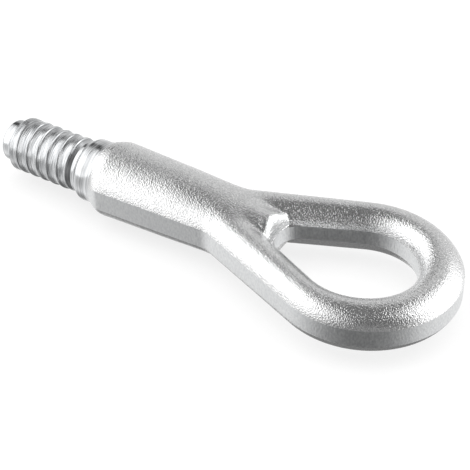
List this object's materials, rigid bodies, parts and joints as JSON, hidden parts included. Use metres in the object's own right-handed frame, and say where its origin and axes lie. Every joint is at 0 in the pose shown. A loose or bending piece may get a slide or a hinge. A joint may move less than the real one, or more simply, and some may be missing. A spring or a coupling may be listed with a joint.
{
  "type": "screw-in towing eye",
  "caption": "Forged steel towing eye with a teardrop loop, a thick round shank, a turned collar and a coarse thread with a plain nose.",
  "frame": {"origin": "on the axis of the thread, at the start of the turned collar", "axes": "+X along the thread axis toward the eye, +Z square to the flat of the eye, the eye and the parting plane in the XY plane"},
  "size_m": [0.1826, 0.0624, 0.0272],
  "materials": {
    "zinc_plated_steel": "bright zinc plate, satin on the blasted forged skin and smoother on the turned collar and thread"
  },
  "bodies": {
    "root": {"tow_eye": "zinc_plated_steel"}
  },
  "joints": []
}
